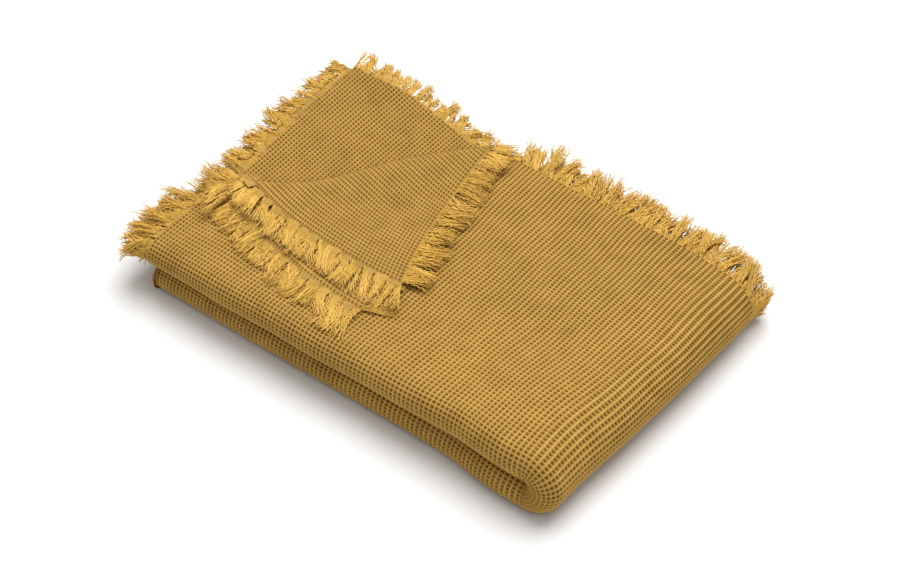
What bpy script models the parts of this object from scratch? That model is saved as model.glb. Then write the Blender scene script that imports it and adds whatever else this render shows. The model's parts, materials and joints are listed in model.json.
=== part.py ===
"""A fringed waffle-weave throw, folded into a stack of sixteen leaves.

The cloth is halved along its length, halved across its width, then halved
under in both directions.  The near long side ends in two stacked rolls, the
right short side in one thick wrap.  At the far left corner the four outermost
leaves end in the cloth's own edges: a plain header band with a fringe on the
short side, a corded selvedge with a fringe on the long side.  The corner of
the top two leaves is turned back over the stack, on a diagonal fold.

Metres, +Z up.  The origin is on the underside, below the middle of the stack.
"""
import math

import bmesh
import bpy
from mathutils import Vector

# Driving dimensions
CLOTH_WIDTH = 1.30
CLOTH_LENGTH = 2.00
FOLDS_EACH_WAY = 4
LEAVES = 16
LEAF = 0.004                  # thickness of one leaf of cloth in the stack
LOWER_SETBACK_LEFT = 0.012    # the lower half's folds lie inside the upper edges
LOWER_SETBACK_NEAR = 0.005
CORNER_LEG = 0.225            # the turned corner, measured along each edge
CORNER_SLIP = Vector((-0.004, -0.034))   # how far the lower flap slides out
HEADER_BAND = 0.012
HEADER_FRINGE = 0.018
SELVEDGE = 0.004
SELVEDGE_FRINGE = 0.020
TRIM_THINNING = 0.0004        # bands and fringes are thinner than the waffle
FLOOR_CLEARANCE = 0.0006      # the lowest fringe just clears the surface
GAP = 0.0003                  # between pieces that touch
SIDES = 20                    # flats on each half round

# Worked out from them
WIDTH = CLOTH_WIDTH / FOLDS_EACH_WAY
LENGTH = CLOTH_LENGTH / FOLDS_EACH_WAY
HEIGHT = LEAVES * LEAF
MIDDLE = HEIGHT / 2
WRAP_R = HEIGHT / 2
ROLL_R = HEIGHT / 4
X_LEFT, X_RIGHT = -LENGTH / 2, LENGTH / 2
Y_NEAR, Y_FAR = -WIDTH / 2, WIDTH / 2
X_WRAP = X_RIGHT - WRAP_R
X_LOWER = X_LEFT + LOWER_SETBACK_LEFT
Y_ROLL = Y_NEAR + ROLL_R
Y_LOWER_ROLL = Y_ROLL + LOWER_SETBACK_NEAR
EDGE_LEAVES = {"top_leaf": 16, "second_leaf": 15, "third_leaf": 14, "fourth_leaf": 13}
CUT_LEAVES = ("top_leaf", "second_leaf")

# The turned corner folds along the line from FOLD_START to FOLD_END
FOLD_START = Vector((X_LEFT, Y_FAR - CORNER_LEG))
FOLD_END = Vector((X_LEFT + CORNER_LEG, Y_FAR))
FOLD_TIP = Vector((X_LEFT + CORNER_LEG, Y_FAR - CORNER_LEG))
ALONG = (FOLD_END - FOLD_START).normalized()
ACROSS = Vector((ALONG.y, -ALONG.x))
RIDGE_R = 2 * LEAF - GAP
HINGE = Vector((*((FOLD_START + FOLD_END) / 2), HEIGHT))

COLOURS = {
    "waffle_cotton": ((0.42, 0.24, 0.055), 0.92),
    "header_cotton": ((0.50, 0.30, 0.070), 0.90),
    "selvedge_cotton": ((0.46, 0.27, 0.060), 0.90),
    "fringe_yarn": ((0.60, 0.37, 0.085), 0.88),
}


def clear_scene():
    for thing in list(bpy.data.objects):
        bpy.data.objects.remove(thing, do_unlink=True)


def make_material(name, kind):
    colour, roughness = COLOURS[kind]
    material = bpy.data.materials.new(name)
    material.use_nodes = True
    shader = material.node_tree.nodes["Principled BSDF"]
    shader.inputs["Base Color"].default_value = (*colour, 1)
    shader.inputs["Roughness"].default_value = roughness
    shader.inputs["Metallic"].default_value = 0
    return material


def add_solid(name, bm, kind, parent=None):
    """Finish a bmesh as an object; under a parent it keeps its place in the world."""
    bmesh.ops.recalc_face_normals(bm, faces=bm.faces)
    mesh = bpy.data.meshes.new(name)
    if parent:
        bmesh.ops.translate(bm, verts=bm.verts, vec=-parent.location)
    bm.to_mesh(mesh)
    bm.free()
    mesh.materials.append(make_material(name, kind))
    solid = bpy.data.objects.new(name, mesh)
    solid.parent = parent
    bpy.context.collection.objects.link(solid)
    return solid


def extrude_profile(points, direction):
    """A closed solid from a flat outline in space, pushed along a direction."""
    bm = bmesh.new()
    face = bm.faces.new([bm.verts.new(point) for point in points])
    pushed = bmesh.ops.extrude_face_region(bm, geom=[face])
    moved = [item for item in pushed["geom"] if isinstance(item, bmesh.types.BMVert)]
    bmesh.ops.translate(bm, verts=moved, vec=direction)
    return bm


def slab(name, outline, low, high, kind, parent=None):
    """A flat piece with an outline in plan, from one height to another."""
    points = [(x, y, low) for x, y in outline]
    return add_solid(name, extrude_profile(points, (0, 0, high - low)), kind, parent)


def rectangle(x_low, x_high, y_low, y_high):
    return [Vector(corner) for corner in
            ((x_low, y_low), (x_high, y_low), (x_high, y_high), (x_low, y_high))]


def beyond_fold(point):
    """Distance from the diagonal fold, positive on the side that keeps all its leaves."""
    return (point - FOLD_START).dot(ACROSS)


def trim_at_fold(outline):
    """Cut an outline back so that it starts just past the rounded fold."""
    limit = RIDGE_R + GAP
    kept = []
    for here, after in zip(outline, outline[1:] + outline[:1]):
        inside, next_inside = beyond_fold(here) - limit, beyond_fold(after) - limit
        if inside >= 0:
            kept.append(here)
        if inside * next_inside < 0:
            kept.append(here.lerp(after, inside / (inside - next_inside)))
    return kept


def edge_strip(start, end, inner, outer):
    """A strip along an edge, between two distances outside it."""
    run = (end - start).normalized()
    out = Vector((run.y, -run.x))
    return [start + out * inner, start + out * outer, end + out * outer, end + out * inner]


def half_round(radius, count=SIDES):
    """Points of a half circle, from straight down through +first axis to straight up."""
    angles = [math.pi * (step / count - 0.5) for step in range(count + 1)]
    return [(radius * math.cos(a), radius * math.sin(a)) for a in angles]


def level(number):
    """Lowest and highest heights of a leaf, counted from 1 at the bottom."""
    return (number - 1) * LEAF + GAP / 2, number * LEAF - GAP / 2


def build_packs():
    """The two halves of the stack below the four outermost leaves."""
    lower = rectangle(X_LOWER, X_WRAP - GAP, Y_LOWER_ROLL + GAP, Y_FAR)
    slab("lower_pack", lower, 0, MIDDLE - GAP / 2, "waffle_cotton")
    upper = rectangle(X_LEFT, X_WRAP - GAP, Y_ROLL + GAP, Y_FAR)
    slab("upper_pack", upper, MIDDLE + GAP / 2, level(12)[1], "waffle_cotton")
    fringe = rectangle(X_LEFT - HEADER_BAND - HEADER_FRINGE, X_LEFT - GAP, Y_ROLL + GAP, Y_FAR)
    slab("upper_pack_header_fringe", fringe, MIDDLE + GAP, level(12)[1] - GAP, "fringe_yarn")
    hem = rectangle(X_LOWER, X_WRAP - GAP, Y_FAR + GAP, Y_FAR + SELVEDGE + SELVEDGE_FRINGE)
    slab("lower_pack_selvedge_fringe", hem, FLOOR_CLEARANCE, level(4)[1], "fringe_yarn")


def build_rolls():
    """The two near folds, one on the other, and the header fringe of the upper one."""
    reach = HEADER_BAND + HEADER_FRINGE
    rolls = (
        ("near_lower_roll", Y_LOWER_ROLL, ROLL_R, X_LOWER, X_WRAP - GAP, 0, "waffle_cotton"),
        ("near_upper_roll", Y_ROLL, ROLL_R, X_LEFT, X_WRAP - GAP, MIDDLE, "waffle_cotton"),
        ("upper_roll_header_fringe", Y_ROLL, ROLL_R - GAP, X_LEFT - reach, X_LEFT - GAP,
         MIDDLE, "fringe_yarn"),
    )
    for name, y_centre, radius, x_low, x_high, base, kind in rolls:
        size = radius - GAP / 4
        points = [(x_low, y_centre - out, base + ROLL_R + up) for out, up in half_round(size)]
        if base == 0:
            points[0] = (x_low, y_centre, 0)
        add_solid(name, extrude_profile(points, (x_high - x_low, 0, 0)), kind)


def build_end_wrap():
    """The thick fold at the right end, and the selvedge fringe that follows it round."""
    points = [(X_WRAP + out, Y_NEAR, WRAP_R + up) for out, up in half_round(WRAP_R)]
    bm = extrude_profile(points, (0, WIDTH, 0))
    near_rim = [edge for edge in bm.edges
                if all(abs(v.co.y - Y_NEAR) < GAP for v in edge.verts)
                and any(v.co.x > X_WRAP + GAP for v in edge.verts)]
    bmesh.ops.bevel(bm, geom=near_rim, offset=0.009, segments=3, affect="EDGES", profile=0.5)
    add_solid("end_wrap", bm, "waffle_cotton")
    outer = [(out, up) for out, up in half_round(WRAP_R - 2 * GAP)]
    inner = [(out, up) for out, up in reversed(half_round(WRAP_R - 4 * LEAF))]
    ring = [(X_WRAP + GAP + out, Y_FAR + GAP, WRAP_R + up) for out, up in outer + inner]
    add_solid("end_wrap_selvedge_fringe",
              extrude_profile(ring, (0, SELVEDGE + SELVEDGE_FRINGE - GAP, 0)), "fringe_yarn")


def trimmed_set(name, leaf_outline, header_edge, selvedge_edge, low, high, cut, parent=None):
    """A leaf with its header band, its selvedge and the fringe outside each."""
    trim_low, trim_high = low + TRIM_THINNING, high - TRIM_THINNING
    reach_header = HEADER_BAND + HEADER_FRINGE
    reach_selvedge = SELVEDGE + SELVEDGE_FRINGE
    pieces = (
        ("", leaf_outline, low, high, "waffle_cotton"),
        ("_header_band", edge_strip(*header_edge, GAP, HEADER_BAND),
         trim_low, trim_high, "header_cotton"),
        ("_header_fringe", edge_strip(*header_edge, HEADER_BAND + GAP, reach_header),
         trim_low, trim_high, "fringe_yarn"),
        ("_selvedge", edge_strip(*selvedge_edge, GAP, SELVEDGE),
         trim_low, trim_high, "selvedge_cotton"),
        ("_selvedge_fringe", edge_strip(*selvedge_edge, SELVEDGE + GAP, reach_selvedge),
         trim_low, trim_high, "fringe_yarn"),
    )
    for suffix, outline, z_low, z_high, kind in pieces:
        shape = trim_at_fold(outline) if cut else outline
        slab(name + suffix, shape, z_low, z_high, kind, parent)


def build_edge_leaves():
    """The four outermost leaves, whose left and far sides are the cloth's own edges."""
    outline = rectangle(X_LEFT, X_WRAP - GAP, Y_ROLL + GAP, Y_FAR)
    near_left, near_right, far_right, far_left = outline
    for name, number in EDGE_LEAVES.items():
        low, high = level(number)
        trimmed_set(name, outline, (far_left, near_left), (far_right, far_left),
                    low, high, name in CUT_LEAVES)


def build_turned_corner():
    """The corner of the top two leaves, turned back on the diagonal fold."""
    hinge = bpy.data.objects.new("turned_corner_hinge", None)
    hinge.location = HINGE
    bpy.context.collection.objects.link(hinge)
    ridge = []
    for step in range(2 * SIDES):
        angle = math.pi * step / SIDES
        across = ACROSS * (RIDGE_R * math.cos(angle))
        ridge.append((*(FOLD_START + across), HEIGHT + RIDGE_R * math.sin(angle)))
    length = (FOLD_END - FOLD_START).length
    add_solid("turned_corner_fold", extrude_profile(ridge, (*(ALONG * length), 0)),
              "waffle_cotton", hinge)
    flaps = (("lower_flap", 17, FOLD_TIP + CORNER_SLIP), ("upper_flap", 18, FOLD_TIP))
    for name, number, tip in flaps:
        low, high = level(number)
        trimmed_set(name, [FOLD_START, tip, FOLD_END], (FOLD_START, tip), (tip, FOLD_END),
                    low, high, True, hinge)


def main():
    clear_scene()
    build_packs()
    build_rolls()
    build_end_wrap()
    build_edge_leaves()
    build_turned_corner()


main()
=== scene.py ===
"""Looks of the folded waffle-weave throw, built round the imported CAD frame.

The outside of the stack is one continuous cloth surface, which runs along the
top, round the end wrap and back underneath, and down over the two near rolls.
The turned corner, the leaf under it, the folded edges at the back and the
fringes are made the same way: a smooth surface given by a formula, with the
waffle raised on it as real relief, and yarns as tubes.
"""
import json
import math

import bpy
import numpy as np
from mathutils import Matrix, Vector

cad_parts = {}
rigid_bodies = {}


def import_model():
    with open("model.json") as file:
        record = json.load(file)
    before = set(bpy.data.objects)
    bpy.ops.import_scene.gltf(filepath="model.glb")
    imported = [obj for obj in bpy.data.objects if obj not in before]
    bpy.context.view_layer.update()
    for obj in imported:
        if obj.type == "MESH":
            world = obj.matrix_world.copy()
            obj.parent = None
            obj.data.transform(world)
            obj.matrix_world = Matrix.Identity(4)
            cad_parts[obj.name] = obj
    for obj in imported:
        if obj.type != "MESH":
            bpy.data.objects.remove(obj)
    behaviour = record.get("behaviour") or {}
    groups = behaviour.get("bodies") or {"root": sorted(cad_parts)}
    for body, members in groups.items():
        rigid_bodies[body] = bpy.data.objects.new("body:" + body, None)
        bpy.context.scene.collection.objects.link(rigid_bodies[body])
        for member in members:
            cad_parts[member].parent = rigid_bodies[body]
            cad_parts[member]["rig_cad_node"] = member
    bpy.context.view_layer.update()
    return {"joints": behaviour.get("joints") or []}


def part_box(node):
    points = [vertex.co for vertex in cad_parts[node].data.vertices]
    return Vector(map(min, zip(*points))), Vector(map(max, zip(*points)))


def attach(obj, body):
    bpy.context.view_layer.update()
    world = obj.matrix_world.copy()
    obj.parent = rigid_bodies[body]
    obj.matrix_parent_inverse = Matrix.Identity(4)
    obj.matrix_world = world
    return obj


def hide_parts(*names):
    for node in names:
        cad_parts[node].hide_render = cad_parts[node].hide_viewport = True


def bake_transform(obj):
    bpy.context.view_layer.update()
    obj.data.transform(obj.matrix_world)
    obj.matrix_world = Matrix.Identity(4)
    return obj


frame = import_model()


def low(node):
    return np.array(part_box(node)[0])


def high(node):
    return np.array(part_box(node)[1])


# Sizes and places, read from the frame
LEFT, NEAR = low("upper_pack")[0], low("near_upper_roll")[1]
RIGHT, FAR, HEIGHT = high("end_wrap")
LOWER_LEFT = low("lower_pack")[0]
MIDDLE = HEIGHT / 2
LEAF = HEIGHT / 16
ROLL_R = HEIGHT / 4
X_TURN = RIGHT - MIDDLE          # where the straight leaves end and the end wrap starts
Y_ROLL = NEAR + ROLL_R           # where the flat leaves end and the near rolls start
HINGE = np.array(frame["joints"][0]["pos_m"])
ALONG = -np.array(frame["joints"][0]["axis"])
ALONG = ALONG / np.linalg.norm(ALONG)
ACROSS = np.array([ALONG[1], -ALONG[0], 0.0])
UP = np.array([0.0, 0.0, 1.0])
CORNER_LEG = 2 * (HINGE[0] - LEFT)
CLOTH_LEFT = LEFT + 0.0085       # the outer leaves have drawn in a little from the left
FOLD_START = np.array([LEFT, FAR - CORNER_LEG, HEIGHT])
FOLD_END = np.array([LEFT + CORNER_LEG, FAR, HEIGHT])
FOLD_LENGTH = CORNER_LEG * math.sqrt(2)
FOLD_BOW = 0.026                 # the soft fold bows over the stack by up to this

# The weave
RELIEF = 0.0021                  # from the bottom of a pit to the top of a cord
SAMPLES = 6                      # mesh steps in each cell
CELLS_TOP = 98                   # cells of the waffle along the top
CELLS_TURN = 19                  # round the end wrap
CELLS_UNDER = 90                 # along the underside
CELLS_FLAT = 75                  # across the top
CELLS_ROLL = 12                  # round a near roll
PITCH_GROWTH_X = 0.34            # the cloth is stretched towards the end wrap
PITCH_GROWTH_Y = 0.36            # and towards the near rolls
LOWER_ROLL_SETBACK = 0.0025      # the lower near roll lies a little behind the upper one

# The edges
YARN_R = 0.00052
TAB_DEPTH = 0.0115               # the plain header is cut into tabs, each ending in a tuft
TAB_PITCH = 0.0150
TAB_THICK = 0.0013
TAB_TUCK = 0.0028                # how far a tab starts under the waffle
CORD_THICK = 0.0018              # the corded selvedge
HEADER_YARN = 0.031              # length of the fringe yarns beyond the tabs
SELVEDGE_YARN = 0.038
YARN_START = 0.004               # the part of each header yarn that lies on its tab
YARN_CEILING = 0.007             # height above the stack where rising yarns level off
YARN_OVER = 0.004                # and how much higher they may end

rng = np.random.default_rng(11)


def smooth(x):
    x = np.clip(x, 0, 1)
    return x * x * (3 - 2 * x)


def spread(index, count, growth):
    """Share of a length covered after so many cells, when their pitch grows evenly."""
    return np.expm1(growth * index / count) / np.expm1(growth)


def fold_bow(along):
    """How far the fold bows, at a distance along the diagonal: most near its left end."""
    return FOLD_BOW * np.exp(-((along / FOLD_LENGTH - 0.30) / 0.26) ** 2)


def beyond_fold(x, y):
    """Distance from the diagonal fold in plan, positive on the side of the full stack."""
    along = (x - FOLD_START[0]) * ALONG[0] + (y - FOLD_START[1]) * ALONG[1]
    return (x - FOLD_START[0]) * ACROSS[0] + (y - FOLD_START[1]) * ACROSS[1] - fold_bow(along)


# ---------------------------------------------------------------- surfaces

def ripple(x, y):
    """Slow unevenness of hand-folded cloth."""
    wave = 1.4 * np.sin(31 * x + 14 * y + 0.6) + 1.1 * np.sin(-17 * x + 42 * y + 2.1)
    return wave + 0.5 * np.sin(63 * x + 37 * y + 4.0)


def top_lift(x, y):
    """How far the top stands above the flat stack: high at the end wrap and the near roll."""
    to_wrap = smooth((x - 0.02) / (X_TURN - 0.02))
    to_roll = smooth((0.02 - y) / (0.02 - Y_ROLL)) * smooth((x - LEFT) / 0.25 + 0.35)
    calm = smooth(beyond_fold(x, y) / 0.05)
    return -0.0012 + calm * (0.0075 * to_wrap + 0.0030 * to_roll + 0.0006 * ripple(x, y))


def stack_top(x, y):
    return HEIGHT + top_lift(x, y)


def far_edge(x):
    """Where the long far edges end: they draw in towards the end wrap."""
    return (FAR + 0.002 - 0.014 * smooth((x + 0.20) / 0.16) - 0.012 * smooth((x - 0.07) / 0.22)
            - 0.008 * smooth((-0.17 - x) / 0.07))


def left_bow(y):
    """How far the left edges draw in towards the far corner."""
    return (0.003 * smooth((y - 0.10) / 0.06)
            - 0.001 * smooth((y + 0.08) / 0.08) * smooth((0.13 - y) / 0.10))


def skin(i, j, share=1.0):
    """A cloth of the stack at cell i along the run and cell j across it.

    A share of 1 is the outermost cloth, smaller shares lie deeper in the stack.
    """
    i, j = np.meshgrid(i, j, indexing="ij")
    on_top = spread(np.clip(i, 0, CELLS_TOP), CELLS_TOP, PITCH_GROWTH_X)
    turned = np.clip((i - CELLS_TOP) / CELLS_TURN, 0, 1)
    under = spread(np.clip(CELLS_TOP + CELLS_TURN + CELLS_UNDER - i, 0, CELLS_UNDER),
                   CELLS_UNDER, PITCH_GROWTH_X)
    x = np.where(i <= CELLS_TOP, CLOTH_LEFT + (X_TURN - CLOTH_LEFT) * on_top,
                 LOWER_LEFT + (X_TURN - LOWER_LEFT) * under)
    phi = math.pi * turned
    flat = spread(np.clip(j, 0, CELLS_FLAT), CELLS_FLAT, PITCH_GROWTH_Y)
    far = far_edge(x)
    y = far + (Y_ROLL - far) * flat
    beta = math.pi * np.clip((j - CELLS_FLAT) / CELLS_ROLL, 0, 1)
    upper = (1 + np.cos(phi)) / 2
    depth = MIDDLE + top_lift(x, y) * upper
    bulge = ROLL_R * (1 - 0.07 * (1 - upper)) * (1 + 0.03 * np.sin(23 * x + 1 + phi))
    rho = share * (0.0008 + (depth - 0.0008) * (1 + np.cos(beta)) / 2)
    # the near right corner sinks forward, and the end wrap skews a little
    slump = 0.009 * (1 - 0.75 * upper) * smooth((x - 0.10) / 0.10) * smooth(-y / 0.15)
    x = x - 0.008 * smooth((0.03 - y) / 0.17) * smooth((x - 0.10) / 0.10) \
        + 0.003 * smooth((y - 0.05) / 0.08) * smooth((x - 0.10) / 0.10)
    y = (y - bulge * np.sin(beta) - slump
         + LOWER_ROLL_SETBACK * (1 - upper) * smooth((0 - y) / 0.14))
    # the lines of the weave wander a little
    free = upper * smooth((x - LEFT) / 0.1) * smooth((FAR - y) / 0.05)
    x, y = (x + free * (0.0014 * np.sin(19 * y + 1.0) + 0.0007 * np.sin(61 * y + 23 * x)),
            y + free * (0.0012 * np.sin(17 * x + 0.4) + 0.0006 * np.sin(57 * x - 31 * y + 2)))
    return np.stack([x + rho * np.sin(phi), y, MIDDLE + rho * np.cos(phi)], -1)


def recess_floor(x, y):
    """Height of the third leaf, which sinks towards the fold and rises to the far corner."""
    away = np.clip(-beyond_fold(x, y), 0, None)
    return HEIGHT - 0.0150 + 0.022 * smooth(away / 0.19) + 0.0004 * ripple(x, y)


def relief(i, j):
    """Height of the waffle at a cell position: 0 in the pits and 1 on the cords."""
    a, b = (np.abs((v + 0.5) % 1 - 0.5) * 2 for v in (i, j))
    b = 0.14 + 0.86 * b          # the rungs lie a little lower than the cords they cross
    return 1 - 1.25 * (np.maximum(a, 1e-3) ** -3 + b ** -3) ** (-1 / 3)


def surface_normals(points):
    along, across = np.gradient(points, axis=0), np.gradient(points, axis=1)
    normal = np.cross(along, across)
    return normal / np.maximum(np.linalg.norm(normal, axis=-1, keepdims=True), 1e-12)


def waffle(points, i, j, outward, scale=1.0):
    """Raise the relief on a grid of points; outward is 1 or -1 times the grid's normal."""
    height = relief(*np.meshgrid(i, j, indexing="ij"))
    return points + surface_normals(points) * (outward * RELIEF * scale * (height - 0.5))[..., None]


# ---------------------------------------------------------------- meshes

def new_mesh(name, vertices, faces, layers=()):
    """A mesh object from arrays; faces is an (n, corners) array, layers are point values."""
    mesh = bpy.data.meshes.new(name)
    corners = faces.shape[1]
    mesh.vertices.add(len(vertices))
    mesh.vertices.foreach_set("co", np.asarray(vertices, np.float32).ravel())
    mesh.loops.add(faces.size)
    mesh.loops.foreach_set("vertex_index", faces.astype(np.int32).ravel())
    mesh.polygons.add(len(faces))
    mesh.polygons.foreach_set("loop_start", np.arange(0, faces.size, corners, dtype=np.int32))
    for label, values in layers:
        attribute = mesh.attributes.new(label, "FLOAT", "POINT")
        attribute.data.foreach_set("value", np.asarray(values, np.float32).ravel())
    mesh.update(calc_edges=True)
    mesh.shade_smooth()
    piece = bpy.data.objects.new(name, mesh)
    bpy.context.scene.collection.objects.link(piece)
    return piece


def grid_faces(rows, columns):
    number = np.arange(rows * columns).reshape(rows, columns)
    corners = (number[:-1, :-1], number[1:, :-1], number[1:, 1:], number[:-1, 1:])
    return np.stack([c.ravel() for c in corners], 1)


def drop_unused(vertices, faces, layers):
    used, inverse = np.unique(faces, return_inverse=True)
    kept = [(label, np.asarray(values).reshape(-1)[used]) for label, values in layers]
    return vertices[used], inverse.reshape(faces.shape), kept


def remember_flat_size(base, faces):
    """Which neighbouring points of the grid both belong to kept faces, each way; the result is
    neither kept nor returned.
    """
    kept = np.zeros(base.shape[:2], bool)
    kept.ravel()[faces] = True
    for axis in (1, 0):
        inside = np.logical_and(*(np.take(kept, range(k, kept.shape[axis] - 1 + k), axis)
                                  for k in (0, 1)))


def cloth_piece(name, base, i, j, outward=1, keep=None, scale=1.0, trim=False):
    """A waffle surface as a mesh, with the weave's coordinates kept for its material.

    keep is a grid of values; a face is left out where their mean is below zero.
    trim drops the outermost row all round, which only served for the normals.
    """
    points = waffle(base, i, j, outward, scale)
    if trim:
        points, base, i, j = points[1:-1, 1:-1], base[1:-1, 1:-1], i[1:-1], j[1:-1]
        keep = keep[1:-1, 1:-1] if keep is not None else None
    rows, columns = points.shape[:2]
    faces = grid_faces(rows, columns)
    if outward < 0:
        faces = faces[:, ::-1]
    if keep is not None:
        faces = faces[keep.ravel()[faces].mean(axis=1) > 0]
    remember_flat_size(base, faces)
    ii, jj = np.meshgrid(i, j, indexing="ij")
    layers = [("cell_i", ii), ("cell_j", jj)]
    vertices, faces, layers = drop_unused(points.reshape(-1, 3), faces, layers)
    return new_mesh(name, vertices, faces, layers)


def steps(first, last, samples=SAMPLES):
    return np.linspace(first, last, round((last - first) * samples) + 1)


# ---------------------------------------------------------------- materials

def material(name, build):
    """A material whose nodes are made by a function, which gets its principled shader."""
    made = bpy.data.materials.new(name)
    made.use_nodes = True
    nodes, links = made.node_tree.nodes, made.node_tree.links
    shader = nodes["Principled BSDF"]
    build(nodes, links, shader)
    return made


def node(nodes, kind, **values):
    """A shader node with some of its settings or inputs given by name."""
    made = nodes.new(kind)
    for key, value in values.items():
        if hasattr(made, key):
            setattr(made, key, value)
        else:
            made.inputs[key.replace("_", " ")].default_value = value
    return made


def calculate(nodes, links, operation, *values):
    """A math node's result; the values are numbers or sockets."""
    made = node(nodes, "ShaderNodeMath", operation=operation)
    for socket, value in zip(made.inputs, values):
        if isinstance(value, float):
            socket.default_value = value
        else:
            links.new(value, socket)
    return made.outputs["Value"]


def cotton_base(shader, roughness, sheen):
    shader.inputs["Roughness"].default_value = roughness
    shader.inputs["Specular IOR Level"].default_value = 0.25
    shader.inputs["Sheen Weight"].default_value = sheen
    shader.inputs["Sheen Roughness"].default_value = 0.45
    shader.inputs["Sheen Tint"].default_value = (1.0, 0.80, 0.45, 1)


def cloudy(nodes, links, scale, low_value, high_value):
    """A slow brightness variation; returns the socket."""
    coordinates = node(nodes, "ShaderNodeTexCoord")
    noise = node(nodes, "ShaderNodeTexNoise", Scale=scale, Detail=3.0)
    links.new(coordinates.outputs["Object"], noise.inputs["Vector"])
    spread_out = node(nodes, "ShaderNodeMapRange")
    spread_out.inputs["From Min"].default_value = 0.3
    spread_out.inputs["From Max"].default_value = 0.7
    spread_out.inputs["To Min"].default_value = low_value
    spread_out.inputs["To Max"].default_value = high_value
    links.new(noise.outputs["Fac"], spread_out.inputs["Value"])
    return spread_out.outputs["Result"]


def multiply_colour(nodes, links, colour, factor):
    mix = node(nodes, "ShaderNodeMix", data_type="RGBA", blend_type="MULTIPLY")
    mix.inputs[0].default_value = 1
    links.new(colour, mix.inputs[6])
    links.new(factor, mix.inputs[7])
    return mix.outputs[2]


CORD = (0.55, 0.335, 0.080, 1)
# painted shade: the slope and pit colours darken the waffle's hollows, where shade falls
SLOPE_PAINTED_SHADE = (0.33, 0.180, 0.028, 1)
PIT_PAINTED_SHADE = (0.085, 0.036, 0.004, 1)
BAND = (0.47, 0.280, 0.062, 1)
YARN = (0.80, 0.50, 0.105, 1)
# the dark end of the yarn range: darker strands, and painted shade near the roots
YARN_DARK_TONE_AND_ROOT_SHADE = (0.47, 0.26, 0.034, 1)


def build_waffle_material(nodes, links, shader):
    """Cords and pits from the weave's own coordinates, so that they stay sharp; the slopes and pits
    are painted darker than the cords, which is painted shade in the hollows.
    """
    cotton_base(shader, 0.92, 0.08)
    coordinates = node(nodes, "ShaderNodeTexCoord")
    fuzz = node(nodes, "ShaderNodeTexNoise", Scale=1500, Detail=2.0)
    links.new(coordinates.outputs["Object"], fuzz.inputs["Vector"])
    slow = node(nodes, "ShaderNodeTexNoise", Scale=55, Detail=2.0)
    links.new(coordinates.outputs["Object"], slow.inputs["Vector"])
    from_line = []
    for name, sunk in (("cell_i", 0.0), ("cell_j", 0.10)):
        cell = node(nodes, "ShaderNodeAttribute", attribute_name=name)
        wave = calculate(nodes, links, "PINGPONG", cell.outputs["Fac"], 0.5)
        from_line.append(calculate(nodes, links, "MULTIPLY_ADD", wave, 2 * (1 - sunk), sunk))
    level = calculate(nodes, links, "SMOOTH_MIN", *from_line, 0.25)
    level = calculate(nodes, links, "MULTIPLY_ADD", fuzz.outputs["Fac"], 0.45, level)
    level = calculate(nodes, links, "MULTIPLY_ADD", slow.outputs["Fac"], 0.30, level)
    level = calculate(nodes, links, "SUBTRACT", level, 0.375)
    # painted shade: the ramp runs from the cord colour on the cords to darker slope and pit colours
    # in the hollows
    ramp = node(nodes, "ShaderNodeValToRGB")
    ramp.color_ramp.elements[0].color = CORD
    ramp.color_ramp.elements[0].position = 0.08
    ramp.color_ramp.elements[1].color = PIT_PAINTED_SHADE
    ramp.color_ramp.elements[1].position = 0.95
    ramp.color_ramp.elements.new(0.42).color = SLOPE_PAINTED_SHADE
    links.new(level, ramp.inputs["Fac"])
    colour = multiply_colour(nodes, links, ramp.outputs["Color"],
                             cloudy(nodes, links, 9, 0.94, 1.05))
    links.new(colour, shader.inputs["Base Color"])
    bump = node(nodes, "ShaderNodeBump", Strength=0.6, Distance=0.0007)
    bump.invert = True
    links.new(level, bump.inputs["Height"])
    links.new(bump.outputs["Normal"], shader.inputs["Normal"])


def build_band_material(nodes, links, shader):
    """Plain weave, with fine crossing threads."""
    cotton_base(shader, 0.9, 0.2)
    coordinates = node(nodes, "ShaderNodeTexCoord")
    threads = []
    for direction in ("X", "Y"):
        wave = node(nodes, "ShaderNodeTexWave", wave_type="BANDS", bands_direction=direction)
        wave.inputs["Scale"].default_value = 380
        wave.inputs["Distortion"].default_value = 1.2
        links.new(coordinates.outputs["Object"], wave.inputs["Vector"])
        threads.append(wave.outputs["Fac"])
    bump = node(nodes, "ShaderNodeBump", Strength=0.3, Distance=0.0003)
    links.new(calculate(nodes, links, "MULTIPLY", *threads), bump.inputs["Height"])
    links.new(bump.outputs["Normal"], shader.inputs["Normal"])
    base = node(nodes, "ShaderNodeRGB")
    base.outputs[0].default_value = BAND
    colour = multiply_colour(nodes, links, base.outputs[0], cloudy(nodes, links, 60, 0.86, 1.06))
    shade = node(nodes, "ShaderNodeAttribute", attribute_name="shade")
    colour = multiply_colour(nodes, links, colour, shade.outputs["Fac"])
    links.new(colour, shader.inputs["Base Color"])


def build_yarn_material(nodes, links, shader):
    """Loose yarn: each strand its own tone, darker towards its root, which is painted shade, with a
    fine twist.
    """
    cotton_base(shader, 0.88, 0.3)
    shade = node(nodes, "ShaderNodeAttribute", attribute_name="shade")
    ramp = node(nodes, "ShaderNodeValToRGB")
    ramp.color_ramp.elements[0].color = YARN_DARK_TONE_AND_ROOT_SHADE
    ramp.color_ramp.elements[1].color = YARN
    links.new(shade.outputs["Fac"], ramp.inputs["Fac"])
    colour = multiply_colour(nodes, links, ramp.outputs["Color"],
                             cloudy(nodes, links, 700, 0.88, 1.08))
    links.new(colour, shader.inputs["Base Color"])
    twist = node(nodes, "ShaderNodeAttribute", attribute_name="twist")
    wave = calculate(nodes, links, "SINE", twist.outputs["Fac"])
    bump = node(nodes, "ShaderNodeBump", Strength=0.4, Distance=0.0002)
    links.new(wave, bump.inputs["Height"])
    links.new(bump.outputs["Normal"], shader.inputs["Normal"])


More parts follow.
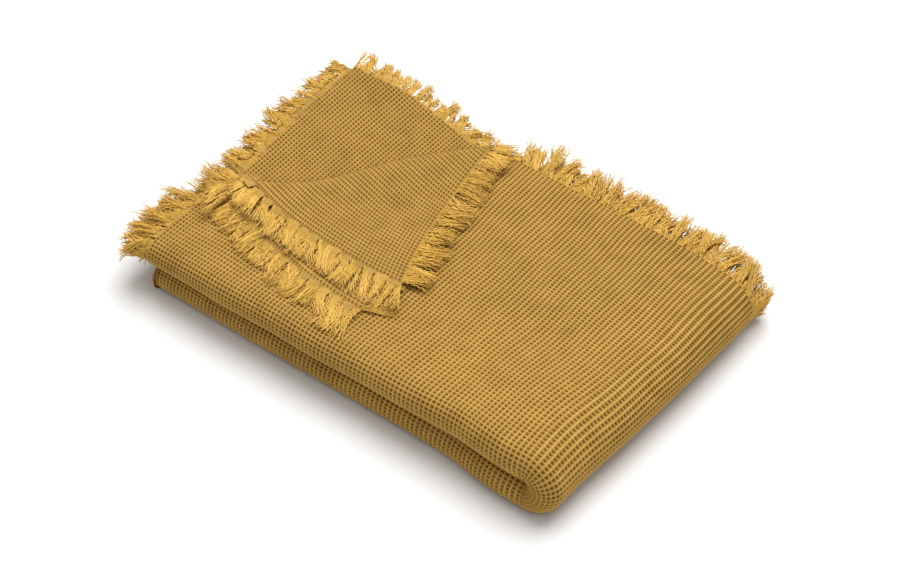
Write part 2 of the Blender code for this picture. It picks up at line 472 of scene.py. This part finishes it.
# the waffle material carries painted shade in its pits
waffle_cotton = material("waffle_cotton_painted_pit_shade", build_waffle_material)
band_cotton = material("plain_band_finish", build_band_material)
# the yarn material carries painted shade towards the roots
yarn_cotton = material("fringe_yarn_painted_root_shade", build_yarn_material)


def place(piece, body, finish, slot, *replaced):
    """Give a piece its material, its body and the CAD nodes that it stands for."""
    piece.data.materials.append(finish)
    if body:
        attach(piece, body)
    if replaced:
        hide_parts(*replaced)
    return piece


# ---------------------------------------------------------------- the stack's outer cloth

def skin_piece(name, i_range, j_range, replaced, cut=False, samples=SAMPLES, share=1.0):
    """A stretch of the skin as a piece; cut ends it at the diagonal fold."""
    i, j = steps(*i_range, samples), steps(*j_range, samples)
    # one more step on each side, so that the normals at the seams agree
    margin = 1 / samples
    wide_i = np.concatenate([[i[0] - margin], i, [i[-1] + margin]])
    wide_j = np.concatenate([[j[0] - margin], j, [j[-1] + margin]])
    base = skin(wide_i, wide_j, share)
    keep = beyond_fold(base[..., 0], base[..., 1]) - 0.002 if cut else None
    piece = cloth_piece(name, base, wide_i, wide_j, -1, keep, trim=True)
    return place(piece, "folded_stack", waffle_cotton, "waffle_cotton", *replaced)


I_END = CELLS_TOP + CELLS_TURN
J_END = CELLS_FLAT + CELLS_ROLL
skin_piece("top_leaf_cloth_left", (0, 49), (0, CELLS_FLAT),
           ("top_leaf", "second_leaf"), cut=True)
skin_piece("top_leaf_cloth_right", (49, CELLS_TOP), (0, CELLS_FLAT), ())
skin_piece("end_wrap_cloth", (CELLS_TOP, I_END), (0, J_END), ("end_wrap",))
skin_piece("upper_roll_cloth", (0, CELLS_TOP), (CELLS_FLAT, J_END), ("near_upper_roll",))
skin_piece("lower_roll_cloth", (I_END, I_END + CELLS_UNDER), (CELLS_FLAT, J_END),
           ("near_lower_roll",))
skin_piece("underside_cloth", (I_END, I_END + CELLS_UNDER), (0, CELLS_FLAT), ("lower_pack",),
           samples=4)


# ---------------------------------------------------------------- folded edges at the back and left

FOLD_PITCH = 0.0046              # of the waffle along the folded edges

def swept(name, line, up, out, half, replaced, cells_round=3):
    """A folded edge: a half round carried along a line, with the waffle on it."""
    length = np.linalg.norm(np.diff(line, axis=0), axis=1).sum()
    i = steps(0, int(length / FOLD_PITCH), 5)
    j = steps(0, cells_round, 5)
    run = np.linspace(0, 1, len(line))
    at = np.linspace(0, 1, len(i))
    centre = np.stack([np.interp(at, run, line[:, k]) for k in range(3)], -1)
    up = np.stack([np.interp(at, run, np.broadcast_to(up, line.shape)[:, k])
                   for k in range(3)], -1)
    round_ = math.pi * (j / cells_round - 0.5)
    size = half * (1 + 0.05 * np.sin(70 * at * length + half * 900))[:, None, None]
    points = (centre[:, None] + np.asarray(out) * np.cos(round_)[None, :, None] * size
              + up[:, None] * np.sin(round_)[None, :, None] * size)
    middle = surface_normals(points)[len(i) // 2, len(j) // 2]
    outward = 1 if middle @ np.asarray(out) > 0 else -1
    piece = cloth_piece(name, points, i, j, outward, scale=0.8)
    return place(piece, "folded_stack", waffle_cotton, "waffle_cotton", *replaced)


def round_the_end(radius, inset):
    """The line of a folded edge on the far side: back, round the end wrap, and forward."""
    x = np.linspace(LOWER_LEFT + 0.004, X_TURN, 40)
    phi = np.linspace(0, math.pi, 24)
    xs = np.concatenate([x, X_TURN + radius * np.sin(phi[1:-1]), x[::-1]])
    zs = MIDDLE + radius * np.concatenate([np.ones(40), np.cos(phi[1:-1]), -np.ones(40)])
    ups = np.stack([np.concatenate([0 * x, np.sin(phi[1:-1]), 0 * x]), 0 * xs,
                    np.concatenate([0 * x + 1, np.cos(phi[1:-1]), 0 * x - 1])], -1)
    return np.stack([xs, far_edge(xs) - inset, zs], -1), ups


def round_the_roll(radius):
    """The line of a folded edge on the left: forward, round the lower roll, and back."""
    y = np.linspace(FAR - 0.006, Y_ROLL, 40)
    beta = np.linspace(0, math.pi, 20)
    ys = np.concatenate([y, Y_ROLL - radius * np.sin(beta[1:-1]), y[::-1]])
    cos = np.concatenate([np.ones(40), np.cos(beta[1:-1]), -np.ones(40)])
    ups = np.stack([0 * ys, np.concatenate([0 * y, -np.sin(beta[1:-1]), 0 * y]), cos], -1)
    return np.stack([np.full(len(ys), LOWER_LEFT + 0.0012), ys, ROLL_R + radius * cos], -1), ups


line, ups = round_the_end(MIDDLE / 4, MIDDLE / 4 + 0.004)
swept("inner_fold_cloth", line, ups, (0, 1, 0), MIDDLE / 4 - 0.0006, ("upper_pack",), 6)
for number, radius in enumerate((LEAF, 3 * LEAF)):
    line, ups = round_the_roll(radius)
    swept(f"lower_fold_cloth_{number + 1}", line, ups, (-1, 0, 0), LEAF - 0.0003, ())


def rim_pieces():
    """The outermost strips of the leaves between the cloth's own edges."""
    for leaf in (13, 14, 15):
        share = (leaf - 8.0) / 8
        skin_piece(f"leaf_{leaf}_far_rim", (0 if leaf < 14 else 54, I_END + CELLS_UNDER), (0, 4),
                   (), samples=4, share=share - (0.02 if leaf > 13 else 0.06), cut=leaf == 15)
    for leaf in (9, 10, 11, 12, 13):
        z = leaf * LEAF - LEAF / 2
        i, j = steps(0, 4, 4), steps(0, 66, 4)
        ii, jj = np.meshgrid(i, j, indexing="ij")
        x, y = CLOTH_LEFT - 0.001 + 0.0045 * ii, FAR - 0.003 - 0.0044 * jj
        points = np.stack([x, y, np.full_like(x, z)], -1)
        piece = cloth_piece(f"leaf_{leaf}_left_rim", points, i, j, -1, scale=0.9)
        place(piece, "folded_stack", waffle_cotton, "waffle_cotton",
              *(("fourth_leaf",) if leaf == 13 else ()))


def core_piece():
    """The inside of the stack, seen only deep between the leaves."""
    lo = np.array([CLOTH_LEFT + 0.012, Y_ROLL - 0.004, 0.0025])
    hi = np.array([X_TURN + 0.010, FAR - 0.038, HEIGHT - 0.0180])
    corner = np.array([[x, y, z] for x in (0, 1) for y in (0, 1) for z in (0, 1)])
    faces = np.array([[0, 1, 3, 2], [4, 6, 7, 5], [0, 4, 5, 1], [2, 3, 7, 6], [0, 2, 6, 4],
                      [1, 5, 7, 3]])
    vertices = lo + corner * (hi - lo)
    piece = new_mesh("inner_leaves", vertices, faces,
                     [("cell_i", vertices[:, 1] / 0.004), ("cell_j", vertices[:, 2] / 0.004)])
    piece.data.shade_flat()
    return place(piece, "folded_stack", waffle_cotton, "waffle_cotton")


rim_pieces()
core_piece()


# ---------------------------------------------------------------- the leaf under the turned corner

def third_leaf():
    """The third leaf, which shows between the stack's corner and the diagonal fold."""
    pitch_x, pitch_y = 0.0041, 0.0038
    skew_x, skew_y = 0.08, 0.20      # it lies a little askew on the stack
    i, j = steps(-2, 60), steps(-12, 62)
    ii, jj = np.meshgrid(i, j, indexing="ij")
    x, y = pitch_x * ii, -pitch_y * jj
    x, y = CLOTH_LEFT + x + skew_x * y, FAR + y - skew_y * x
    x, y = x + 0.0012 * np.sin(27 * y + 0.5), y + 0.0012 * np.sin(21 * x + 2)
    points = np.stack([x, y, recess_floor(x, y)], -1)
    inside = np.minimum(far_edge(x) - 0.001 - y, x - CLOTH_LEFT + 0.001 - left_bow(y))
    piece = cloth_piece("third_leaf_cloth", points, i, j, -1,
                        np.minimum(inside, 0.02 - beyond_fold(x, y)), 0.9)
    return place(piece, "folded_stack", waffle_cotton, "waffle_cotton", "third_leaf")


third_leaf()


# ---------------------------------------------------------------- the turned corner

REACH = CORNER_LEG / math.sqrt(2)     # from the fold to the tip of the corner
BEND_R = 0.0128                       # outer face of the second leaf at the bend
FLAP_THICK = 0.0032                   # from the upward face of a turned leaf to its back
SETTLE = 0.055                        # it comes down from its bend over this distance


class Flap:
    """One turned leaf: where its cloth lies, measured from its header edge and selvedge.

    The edges are curves in plan, each given by how far along the fold it lies
    (start, slope, curve) at a distance from the fold.
    """

    def __init__(self, start, slope, curve, width, taper, reach, face, bend_r, edge_drop):
        self.start, self.slope, self.curve = start, slope, curve
        self.width, self.taper, self.reach = width, taper, reach
        self.face, self.bend_r, self.edge_drop = face, bend_r, edge_drop

    def surface(self, from_header, from_selvedge, back=0.0):
        """Points of the upward face, or of the back when that is its depth."""
        total = from_header + from_selvedge
        out = REACH - total / math.sqrt(2)
        share = from_header / np.maximum(total, 1e-6)
        distance = out * self.reach / REACH
        left = self.reach - distance
        along = (self.start + self.slope * distance + self.curve * distance ** 2
                 + share * left * (self.width - self.taper * left))
        bow = fold_bow(along)
        distance = distance - bow
        radius = self.bend_r - back
        turn = np.clip(-distance / self.bend_r, 0, math.pi)
        beyond = np.clip(-distance - math.pi * self.bend_r, 0, None)
        across = bow + np.clip(distance, 0, None) - radius * np.sin(turn) + beyond
        plan = FOLD_START[:2] + along[..., None] * ALONG[:2] + across[..., None] * ACROSS[:2]
        x, y = plan[..., 0], plan[..., 1]
        rest = (stack_top(x, y) + self.face - back
                - self.edge_drop * smooth(1 - from_header / 0.03)
                + 0.0007 * np.sin(34 * along + 3) * smooth(distance / 0.03))
        top = HINGE[2] + radius
        level = rest + (top - rest) * (1 - smooth(distance / SETTLE))
        z = np.where(distance > 0, level, HINGE[2] + radius * np.cos(turn))
        return np.stack([x, y, z], -1), distance


upper = Flap(start=0.037, slope=0.45, curve=2.2, width=1.6157, taper=1.012, reach=0.1647,
             face=0.0100, bend_r=BEND_R, edge_drop=0.0010)
lower = Flap(start=0.026, slope=0.06, curve=2.56, width=1.50, taper=1.00, reach=0.1906,
             face=0.0048, bend_r=0.0068, edge_drop=0.0005)
HEADER_PITCH, SELVEDGE_PITCH = 0.0052, 0.0039


def flap_cells():
    return [steps(0, math.ceil((CORNER_LEG + 0.05) / pitch))
            for pitch in (HEADER_PITCH, SELVEDGE_PITCH)]


def flap_faces(label, flap, *bend_nodes):
    """Both faces of a turned leaf, and its bend, which blends into the stack."""
    i, j = flap_cells()
    header, selvedge = np.meshgrid(i * HEADER_PITCH, j * SELVEDGE_PITCH, indexing="ij")
    for side, back, outward in (("face", 0.0, -1), ("back", FLAP_THICK, 1)):
        points, distance = flap.surface(header, selvedge, back)
        piece = cloth_piece(f"{label}_{side}", points, i, j, outward, distance, 0.85)
        place(piece, "turned_corner", waffle_cotton, "waffle_cotton",
              *((label,) if side == "face" else ()))
        # the same test as above, turned round, so that the two meet face to face
        end = -math.pi * flap.bend_r * 1.02
        bend = cloth_piece(f"{label}_bend_{side}", points, i, j, outward,
                           np.where(distance > end, -distance, -10.0), 0.85)
        place(bend, None, waffle_cotton, "waffle_cotton", *(bend_nodes if side == "face" else ()))
        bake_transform(bend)


flap_faces("upper_flap", upper, "turned_corner_fold")
flap_faces("lower_flap", lower)


# ---------------------------------------------------------------- bands, tabs and yarns

def unit(v):
    return v / np.maximum(np.linalg.norm(v, axis=-1, keepdims=True), 1e-12)


def tube_mesh(name, paths, radius, shade, sides=4):
    """Tubes round many paths at once; paths is (yarns, points, 3)."""
    yarn_count, points = paths.shape[:2]
    tangent = unit(np.gradient(paths, axis=1))
    side = unit(np.cross(tangent, UP + 0.01))
    up = np.cross(side, tangent)
    angle = 2 * math.pi * np.arange(sides) / sides
    ring = (np.cos(angle)[:, None] * side[:, :, None] + np.sin(angle)[:, None] * up[:, :, None])
    vertices = (paths[:, :, None] + radius[:, :, None, None] * ring).reshape(-1, 3)
    number = np.arange(yarn_count * points * sides).reshape(yarn_count, points, sides)
    after = np.roll(number, -1, axis=2)
    faces = np.stack([number[:, :-1], number[:, 1:], after[:, 1:], after[:, :-1]], -1)
    length = np.linalg.norm(np.diff(paths, axis=1, prepend=paths[:, :1]), axis=-1).cumsum(1)
    twist = 4200 * length[:, :, None] + 1.5 * angle
    shades = np.repeat(shade[:, :, None], sides, 2)
    return new_mesh(name, vertices, faces.reshape(-1, 4), [("shade", shades), ("twist", twist)])


class Edge:
    """A run of cloth edge: places along it, with the outward, sideways and upward directions."""

    def __init__(self, points, out, up=None, ground=None):
        self.points = np.asarray(points, float)
        self.length = np.concatenate([[0], np.linalg.norm(np.diff(self.points, axis=0),
                                                          axis=1).cumsum()])
        self.side = unit(np.gradient(self.points, axis=0))
        out = np.broadcast_to(np.asarray(out, float), self.points.shape)
        out = out - (out * self.side).sum(-1, keepdims=True) * self.side
        self.out = unit(out)
        self.up = np.cross(self.out, self.side) if up is None else np.asarray(up, float)
        flip = np.where((self.up * (UP if up is None else up)).sum(-1, keepdims=True) < 0, -1, 1)
        self.up = unit(self.up * flip)
        self.ground = ground

    def at(self, s):
        columns = []
        for values in (self.points, self.out, self.side, self.up):
            columns.append(np.stack([np.interp(s, self.length, values[:, k])
                                     for k in range(3)], -1))
        place_, out, side, up = columns
        return place_, unit(out), unit(side), unit(up)


def headings(out, side, yaw, dip):
    """Directions turned sideways by yaw and downwards by dip, from outwards."""
    return (np.cos(yaw) * np.cos(dip))[..., None] * out[:, None] \
        + (np.sin(yaw) * np.cos(dip))[..., None] * side[:, None] \
        - np.sin(dip)[..., None] * UP


def crinkle(path, along, side, up, per):
    """Add each yarn's own wave, which the yarns of a tuft nearly share."""
    n = len(path)
    grow = smooth(along / 0.005)
    wave = (per(rng.uniform, 0.0058, 0.0090) * rng.uniform(0.93, 1.07, n))[:, None]
    for amount, direction, unlike in ((0.00062, side, 0.7), (0.00050, up, 1.2)):
        phase = per(rng.uniform, 0, 6.28) + rng.normal(0, unlike, n)
        size = amount * per(rng.uniform, 0.5, 1.3) * rng.uniform(0.7, 1.3, n)
        shift = size[:, None] * grow * np.sin(2 * math.pi * along / wave + phase[:, None])
        path += shift[..., None] * direction[:, None]


def keep_clear(path, ground, layer):
    """Hold the yarns above what they lie on, and level off those that rise too high."""
    if ground is not None:
        floor = ground(path[..., 0], path[..., 1]) + YARN_R + layer
        path[..., 2] = np.maximum(path[..., 2], floor)
    path[..., 2] = np.maximum(path[..., 2], YARN_R * 1.2 + 0.3 * layer)
    above = path[..., 2] - HEIGHT - YARN_CEILING
    path[..., 2] -= np.where(above > 0, above - YARN_OVER * np.tanh(above / YARN_OVER), 0)


def yarn_paths(edge, roots, offset, length, per_tuft=9, droop=(0.35, 0.9), segments=17,
               splay=0.22, lie=0.08, lean_to=0.0):
    """Crinkled yarns, rooted at distances along an edge and gathered in loose tufts."""
    n = len(roots)
    place_, out, side, up = edge.at(roots)
    tuft = np.floor((np.arange(n) + rng.uniform(0, per_tuft)) / per_tuft).astype(int)
    tufts = tuft.max() + 1
    counts = np.maximum(np.bincount(tuft, minlength=tufts), 1)
    centre = np.bincount(tuft, roots, tufts) / counts

    def per(kind, *values):
        """One random value for each tuft, given to all its yarns."""
        return kind(*values, tufts)[tuft]

    stray = np.where(rng.random(n) < 0.08, 2.2, 1.0)
    gathered = (centre[tuft] - roots) * per(rng.uniform, -0.1, 0.6)
    lean = lean_to + per(rng.normal, 0, splay) + rng.normal(0, 0.06, n) * stray
    curl = per(rng.normal, 0, 0.32) + rng.normal(0, 0.16, n) * stray
    pitch = per(rng.normal, lie, 0.10) + rng.normal(0, 0.05, n) * stray
    fall = per(rng.uniform, *droop) + rng.normal(0, 0.10, n) * stray
    if callable(length):
        length = length(roots / edge.length[-1])
    length = length * per(rng.uniform, 0.84, 1.10) * rng.uniform(0.88, 1.04, n)
    t = np.linspace(0, 1, segments)
    yaw = lean[:, None] + curl[:, None] * t
    dip = pitch[:, None] + fall[:, None] * t
    step = (length / (segments - 1))[:, None, None]
    moves = headings(out, side, yaw, dip)[:, :-1] * step
    path = np.concatenate([np.zeros((n, 1, 3)), np.cumsum(moves, axis=1)], 1)
    path += (place_ + offset * out)[:, None]
    path += (gathered[:, None] * smooth(t))[..., None] * side[:, None]
    crinkle(path, t * length[:, None], side, up, per)
    layer = rng.uniform(0, 0.0030, n)[:, None] * smooth(t * 3)
    keep_clear(path, edge.ground, layer)
    return path, t


def yarn_piece(name, batches, body, *replaced):
    paths = np.concatenate([p for p, _ in batches])
    t = batches[0][1]
    n = len(paths)
    radius = YARN_R * rng.uniform(0.8, 1.15, n)[:, None] * (1 - 0.35 * smooth((t - 0.75) / 0.25))
    # painted shade: the yarns darken towards their roots, where they crowd at the cloth's edge; the
    # random part is each strand's own tone
    shade = 0.35 + 0.50 * smooth(t / 0.4) + rng.normal(0, 0.18, n)[:, None]
    piece = tube_mesh(name, paths, radius, np.clip(shade, 0, 1))
    return place(piece, body, yarn_cotton, "fringe_yarn", *replaced)


def plates(name, patches, thickness, finish, slot, body, *replaced):
    """Thin closed pieces, each from a small grid of points, as one mesh."""
    vertices, faces, shades, start = [], [], [], 0
    for patch in patches:
        rows, columns = patch.shape[:2]
        normal = surface_normals(patch)
        u = np.minimum(np.arange(rows), np.arange(rows)[::-1])[:, None]
        v = np.minimum(np.arange(columns), np.arange(columns)[::-1])[None]
        rim = 0.25 + 0.75 * np.clip(np.minimum(u, v), 0, 1)
        offset = normal * (rim * thickness / 2)[..., None]
        quad = grid_faces(rows, columns)
        count = rows * columns
        vertices += [(patch + offset).reshape(-1, 3), (patch - offset).reshape(-1, 3)]
        faces += [quad + start, quad[:, ::-1] + start + count]
        number = np.arange(count).reshape(rows, columns)
        loop = np.concatenate([number[0, :-1], number[:-1, -1], number[-1, :0:-1],
                               number[:0:-1, 0]])
        following = np.roll(loop, -1)
        faces.append(np.stack([following, loop, loop + count, following + count], 1) + start)
        start += 2 * count
        shades.append(np.full(2 * count, rng.uniform(0.80, 1.06)))
    piece = new_mesh(name, np.concatenate(vertices), np.concatenate(faces),
                     [("shade", np.concatenate(shades))])
    return place(piece, body, finish, slot, *replaced)


def tab_patches(edge):
    """The header's plain tabs along an edge, the roots of the yarns at their ends, and of
    those in the gaps between them."""
    last = edge.length[-1]
    patches, roots, gaps, s = [], [], [], 0.0015
    while s < last - 0.006:
        pitch = TAB_PITCH * rng.uniform(0.80, 1.15)
        width = min(pitch * rng.uniform(0.62, 0.80), last - s)
        u, v = np.linspace(0, 1, 6), np.linspace(0, 1, 7)
        pinch = 1 - rng.uniform(0.05, 0.25) * smooth(v / 0.7)
        middle, sway = s + width / 2, rng.normal(0, 0.0009)
        across = middle + (u[:, None] - 0.5) * width * pinch + sway * v
        place_, out, _, up = edge.at(across.ravel())
        depth = TAB_DEPTH * rng.uniform(0.86, 1.08) * np.broadcast_to(v, (6, 7)).ravel()
        tilt = rng.normal(0.0004, 0.0007)
        curve = rng.uniform(-0.0008, 0.0012)
        roll = rng.normal(0, 0.0007)
        uu, vv = np.meshgrid(u, v, indexing="ij")
        lift = (tilt * vv + curve * np.sin(math.pi * uu) * vv + roll * (uu - 0.5) * vv
                - 0.0015 * vv ** 2).ravel()
        points = place_ + out * (depth - TAB_TUCK)[:, None] + up * lift[:, None]
        if edge.ground is not None:
            floor = edge.ground(points[:, 0], points[:, 1]) + 0.0008
            points[:, 2] = np.maximum(points[:, 2], floor)
        patches.append(points.reshape(6, 7, 3))
        count = max(int(round(width / 0.0009)), 3)
        roots.append(middle + (np.linspace(0, 1, count) - 0.5) * width * pinch[-1] + sway)
        count = max(int(round((pitch - width) / 0.0006)), 4)
        gaps.append(np.clip(np.linspace(s + width - 0.001, s + pitch + 0.001, count), 0, last))
        s += pitch
    return patches, roots, gaps


def longer(length, extra):
    """A yarn length, a number or a function of the place along the edge, with some added."""
    return (lambda s: length(s) + extra) if callable(length) else length + extra


def header_batch(edge, density=1.0, length=HEADER_YARN, **ways):
    """The tabs of a header edge, and the yarns at their ends and between them."""
    patches, roots, gaps = tab_patches(edge)
    batches = []
    for groups, offset in ((roots, TAB_DEPTH - 0.0050), (gaps, -0.0004)):
        for group in groups:
            layers = np.sort(np.concatenate([group] * (2 if density > 1 else 1)))
            if density < 1:
                layers = layers[rng.random(len(layers)) < density]
            if len(layers) > 1:
                batches.append(yarn_paths(
                    edge, layers, offset, longer(length, YARN_START - 0.6 * offset),
                    per_tuft=len(layers), **ways))
    return patches, batches


def selvedge_batch(edge, density=1.0, length=SELVEDGE_YARN, band=0.0030, **ways):
    """A narrow corded band along the edge, and the yarns rooted in it."""
    count = max(int(edge.length[-1] / 0.004), 4)
    s = np.linspace(0, edge.length[-1], count)
    place_, out, _, up = edge.at(s)
    v = np.linspace(0, 1, 4)
    uneven = 0.0004 * np.sin(410 * s) + 0.0003 * np.sin(970 * s + 1)
    patch = place_[:, None] + out[:, None] * (band * v - 0.0014 + uneven[:, None])[..., None]
    patch = patch - up[:, None] * (0.0006 + uneven)[:, None, None]
    roots = np.sort(rng.uniform(0.001, edge.length[-1] - 0.001,
                                int(edge.length[-1] / 0.00095 * density)))
    ways = {"per_tuft": int(9 * density) + 1, **ways}
    return [patch], [yarn_paths(edge, roots, band - 0.0035, length, **ways)]


PLATES = {"header": ("tabs", TAB_THICK, "header_band"),
          "selvedge": ("cord", CORD_THICK, "selvedge")}


def edge_pieces(label, kind, patches, batches, body, band=True):
    """The band and the fringe of one edge, in place of their CAD nodes."""
    word, thickness, band_node = PLATES[kind]
    plates(f"{label}_{kind}_{word}", patches, thickness, band_cotton, f"{kind}_cotton", body,
           *((f"{label}_{band_node}",) if band else ()))
    yarn_piece(f"{label}_{kind}_yarns", batches, body, f"{label}_{kind}_fringe")


# ---------------------------------------------------------------- edges of the turned corner

def flap_edges(label, flap, ground, lengths):
    s = np.linspace(0.0, CORNER_LEG + 0.012, 90)
    at_edge, further_in = 0 * s, 0 * s + 0.012
    rim, _ = flap.surface(at_edge, s, FLAP_THICK / 2)
    inner, _ = flap.surface(further_in, s, FLAP_THICK / 2)
    header = Edge(rim[::-1], (rim - inner)[::-1], ground=ground)
    tufts = header_batch(header, 2, lengths, droop=(0.1, 0.5), splay=0.16, lie=0.02, lean_to=0.32)
    edge_pieces(label, "header", *tufts, "turned_corner")
    rim, _ = flap.surface(s, at_edge, FLAP_THICK / 2)
    inner, _ = flap.surface(s, further_in, FLAP_THICK / 2)
    selvedge = Edge(rim, rim - inner, ground=ground)
    tufts = selvedge_batch(selvedge, 1.8, 0.031, droop=(0.0, 0.35), lie=0.0)
    edge_pieces(label, "selvedge", *tufts, "turned_corner")


def upper_ground(x, y):
    """The upper flap's fringe rests on the lower flap near it, and on the stack beyond."""
    return stack_top(x, y) + 0.0010 + 0.0040 * smooth((-0.02 - x) / 0.03)


def lower_ground(x, y):
    drop = np.clip(Y_ROLL - y, 0, ROLL_R) / ROLL_R
    return stack_top(x, y) + 0.0006 - ROLL_R * (1 - np.sqrt(np.clip(1 - drop ** 2, 0, 1)))


flap_edges("upper_flap", upper, upper_ground, lambda s: 0.027 + 0.009 * s)
flap_edges("lower_flap", lower, lower_ground,
           lambda s: 0.028 + 0.012 * smooth((0.25 - s) / 0.2) + 0.014 * smooth((s - 0.72) / 0.2))


# ---------------------------------------------------------------- edges of the stack, left side

def left_run(leaf, part):
    """The short edge of a leaf: along the top, round the near roll or back underneath."""
    r = (leaf - 12.5) * LEAF
    mid = HEIGHT - ROLL_R
    x = CLOTH_LEFT - 0.0008 * (16 - leaf)
    if part == "roll":
        beta = np.linspace(0, math.pi, 30)
        lift = top_lift(x, Y_ROLL) * (1 + np.cos(beta)) / 2
        points = np.stack([np.full(30, x), Y_ROLL - r * np.sin(beta),
                           mid + r * np.cos(beta) + lift], -1)
        up = np.stack([np.zeros(30), -np.sin(beta), np.cos(beta)], -1)
        return Edge(points, (-1, 0, 0), up)
    y = np.linspace(far_edge(x) - 0.003, Y_ROLL, 80)
    if part == "under":
        return Edge(np.stack([np.full(80, x), y, np.full(80, mid - r)], -1), (-1, 0, 0))
    if leaf > 14:
        y = np.linspace(FOLD_START[1] - 0.012, Y_ROLL, 30)
        z = stack_top(x, y) - (16.5 - leaf) * LEAF
    else:
        z = recess_floor(x, y) - 0.0008 - (14 - leaf) * LEAF
        z = z + (stack_top(x, y) - 2.5 * LEAF - z - (14 - leaf) * LEAF) \
            * smooth((FOLD_START[1] - y) / 0.05)
    return Edge(np.stack([x + left_bow(y), y, z], -1), (-1, 0, 0))


LEAF_NAMES = {16: "top_leaf", 15: "second_leaf", 14: "third_leaf", 13: "fourth_leaf"}
roll_edges, pack_edges = ([], []), ([], [])


def gather(edges, batch):
    """Add one leaf's patches and batches to those of the edges that are made as one piece."""
    for made, more in zip(edges, batch):
        made.extend(more)


for leaf, node_name in LEAF_NAMES.items():
    edge_pieces(node_name, "header", *header_batch(
        left_run(leaf, "top"), 2 if leaf in (14, 16) else 1.0,
        # near the far corner the yarns are shorter
        0.038 if leaf > 14 else lambda s: 0.021 + 0.008 * smooth(s / 0.3)
        + 0.006 * smooth((s - 0.65) / 0.2), droop=(0.0, 0.6)), "folded_stack")
    gather(roll_edges, header_batch(left_run(leaf, "roll"), 2 if leaf == 16 else 1.0, 0.034,
                                    droop=(0.1, 0.8)))
    gather(pack_edges, header_batch(left_run(leaf, "under"), 0.8, droop=(0.5, 1.2)))
edge_pieces("upper_roll", "header", *roll_edges, "folded_stack", band=False)
edge_pieces("upper_pack", "header", *pack_edges, "folded_stack", band=False)


# ---------------------------------------------------------------- edges of the stack, far side

def far_run(leaf, part):
    """The long edge of a leaf: along the top, round the end wrap or back underneath."""
    share = (leaf - 8.2) / 8
    spans = {"top": (0, CELLS_TOP, 120), "wrap": (CELLS_TOP, I_END, 24),
             "under": (I_END, I_END + CELLS_UNDER, 110)}
    first, last, count = spans[part]
    i = np.linspace(first, last, count)
    points = skin(i, np.array([0.0]), share)[:, 0]
    points[:, 1] += 0.0006 * (16 - leaf) * np.sin(9 * points[:, 0] + leaf)
    normal = None
    if part == "top":
        recessed = recess_floor(points[:, 0], points[:, 1]) - 0.0008 - (14 - leaf) * LEAF
        if leaf > 14:
            points = points[points[:, 0] > FOLD_END[0] - 0.004]
        else:
            points[:, 2] += (recessed - points[:, 2]) \
                * smooth((FOLD_END[0] - 0.005 - points[:, 0]) / 0.05)
    else:
        phi = math.pi * np.clip((i - CELLS_TOP) / CELLS_TURN, 0, 1)
        normal = np.stack([np.sin(phi), 0 * phi, np.cos(phi)], -1)
    return Edge(points, (0, 1, 0), normal)


wrap_edges, under_edges = ([], []), ([], [])
for leaf, node_name in LEAF_NAMES.items():
    edge_pieces(node_name, "selvedge", *selvedge_batch(
        far_run(leaf, "top"), 2.0 if leaf in (16, 14) else 1.0,
        SELVEDGE_YARN if leaf > 14 else lambda s: 0.025 + 0.013 * smooth((s - 0.4) / 0.2),
        droop=(-0.1, 0.5), lie=-0.05), "folded_stack")
    gather(wrap_edges, selvedge_batch(far_run(leaf, "wrap"), 2.0 if leaf == 16 else 0.9,
                                      droop=(0.0, 0.6), lie=0.0))
    gather(under_edges, selvedge_batch(far_run(leaf, "under"), 0.6, droop=(0.1, 0.6)))
edge_pieces("end_wrap", "selvedge", *wrap_edges, "folded_stack", band=False)
edge_pieces("lower_pack", "selvedge", *under_edges, "folded_stack", band=False)


# ---------------------------------------------------------------- camera, floor and light

def look_from(azimuth, elevation, distance, target):
    a, e = math.radians(azimuth), math.radians(elevation)
    back = Vector((math.sin(a) * math.cos(e), -math.cos(a) * math.cos(e), math.sin(e)))
    return Vector(target) + back * distance, back.to_track_quat("Z", "Y")


def add_camera():
    camera = bpy.data.objects.new("camera", bpy.data.cameras.new("camera"))
    bpy.context.scene.collection.objects.link(camera)
    camera.data.sensor_width = 36
    camera.data.lens = 122.4
    camera.data.clip_end = 20
    camera.location, turn = look_from(37.5, 46, 2.956, (0.0001, 0.0014, 0.03))
    camera.rotation_mode = "QUATERNION"
    camera.rotation_quaternion = turn
    bpy.context.scene.camera = camera


def add_soft_sun(name, azimuth, elevation, spread_deg, strength):
    light = bpy.data.lights.new(name, "SUN")
    light.angle = math.radians(spread_deg)
    light.energy = strength
    lamp = bpy.data.objects.new(name, light)
    bpy.context.scene.collection.objects.link(lamp)
    lamp.location, turn = look_from(azimuth, elevation, 2, (0, 0, 0))
    lamp.rotation_mode = "QUATERNION"
    lamp.rotation_quaternion = turn


def add_floor():
    size = 6.0
    corners = np.array([[-size, -size, 0], [size, -size, 0], [size, size, 0], [-size, size, 0]])
    corners[:, 2] = -0.0004
    floor = new_mesh("floor", corners, np.array([[0, 1, 2, 3]]))

    def build(nodes, links, shader):
        shader.inputs["Base Color"].default_value = (0.80, 0.80, 0.80, 1)
        shader.inputs["Roughness"].default_value = 0.95
    floor.data.materials.append(material("pale_floor", build))


def add_world():
    world = bpy.data.worlds.new("studio")
    world.use_nodes = True
    world.node_tree.nodes["Background"].inputs["Color"].default_value = (1, 1, 1, 1)
    world.node_tree.nodes["Background"].inputs["Strength"].default_value = 0.40
    bpy.context.scene.world = world


add_camera()
add_world()
add_floor()
add_soft_sun("key_light", 190, 66, 50, 3.0)
add_soft_sun("top_light", 60, 84, 80, 0.7)
bpy.context.scene.view_settings.view_transform = "Standard"
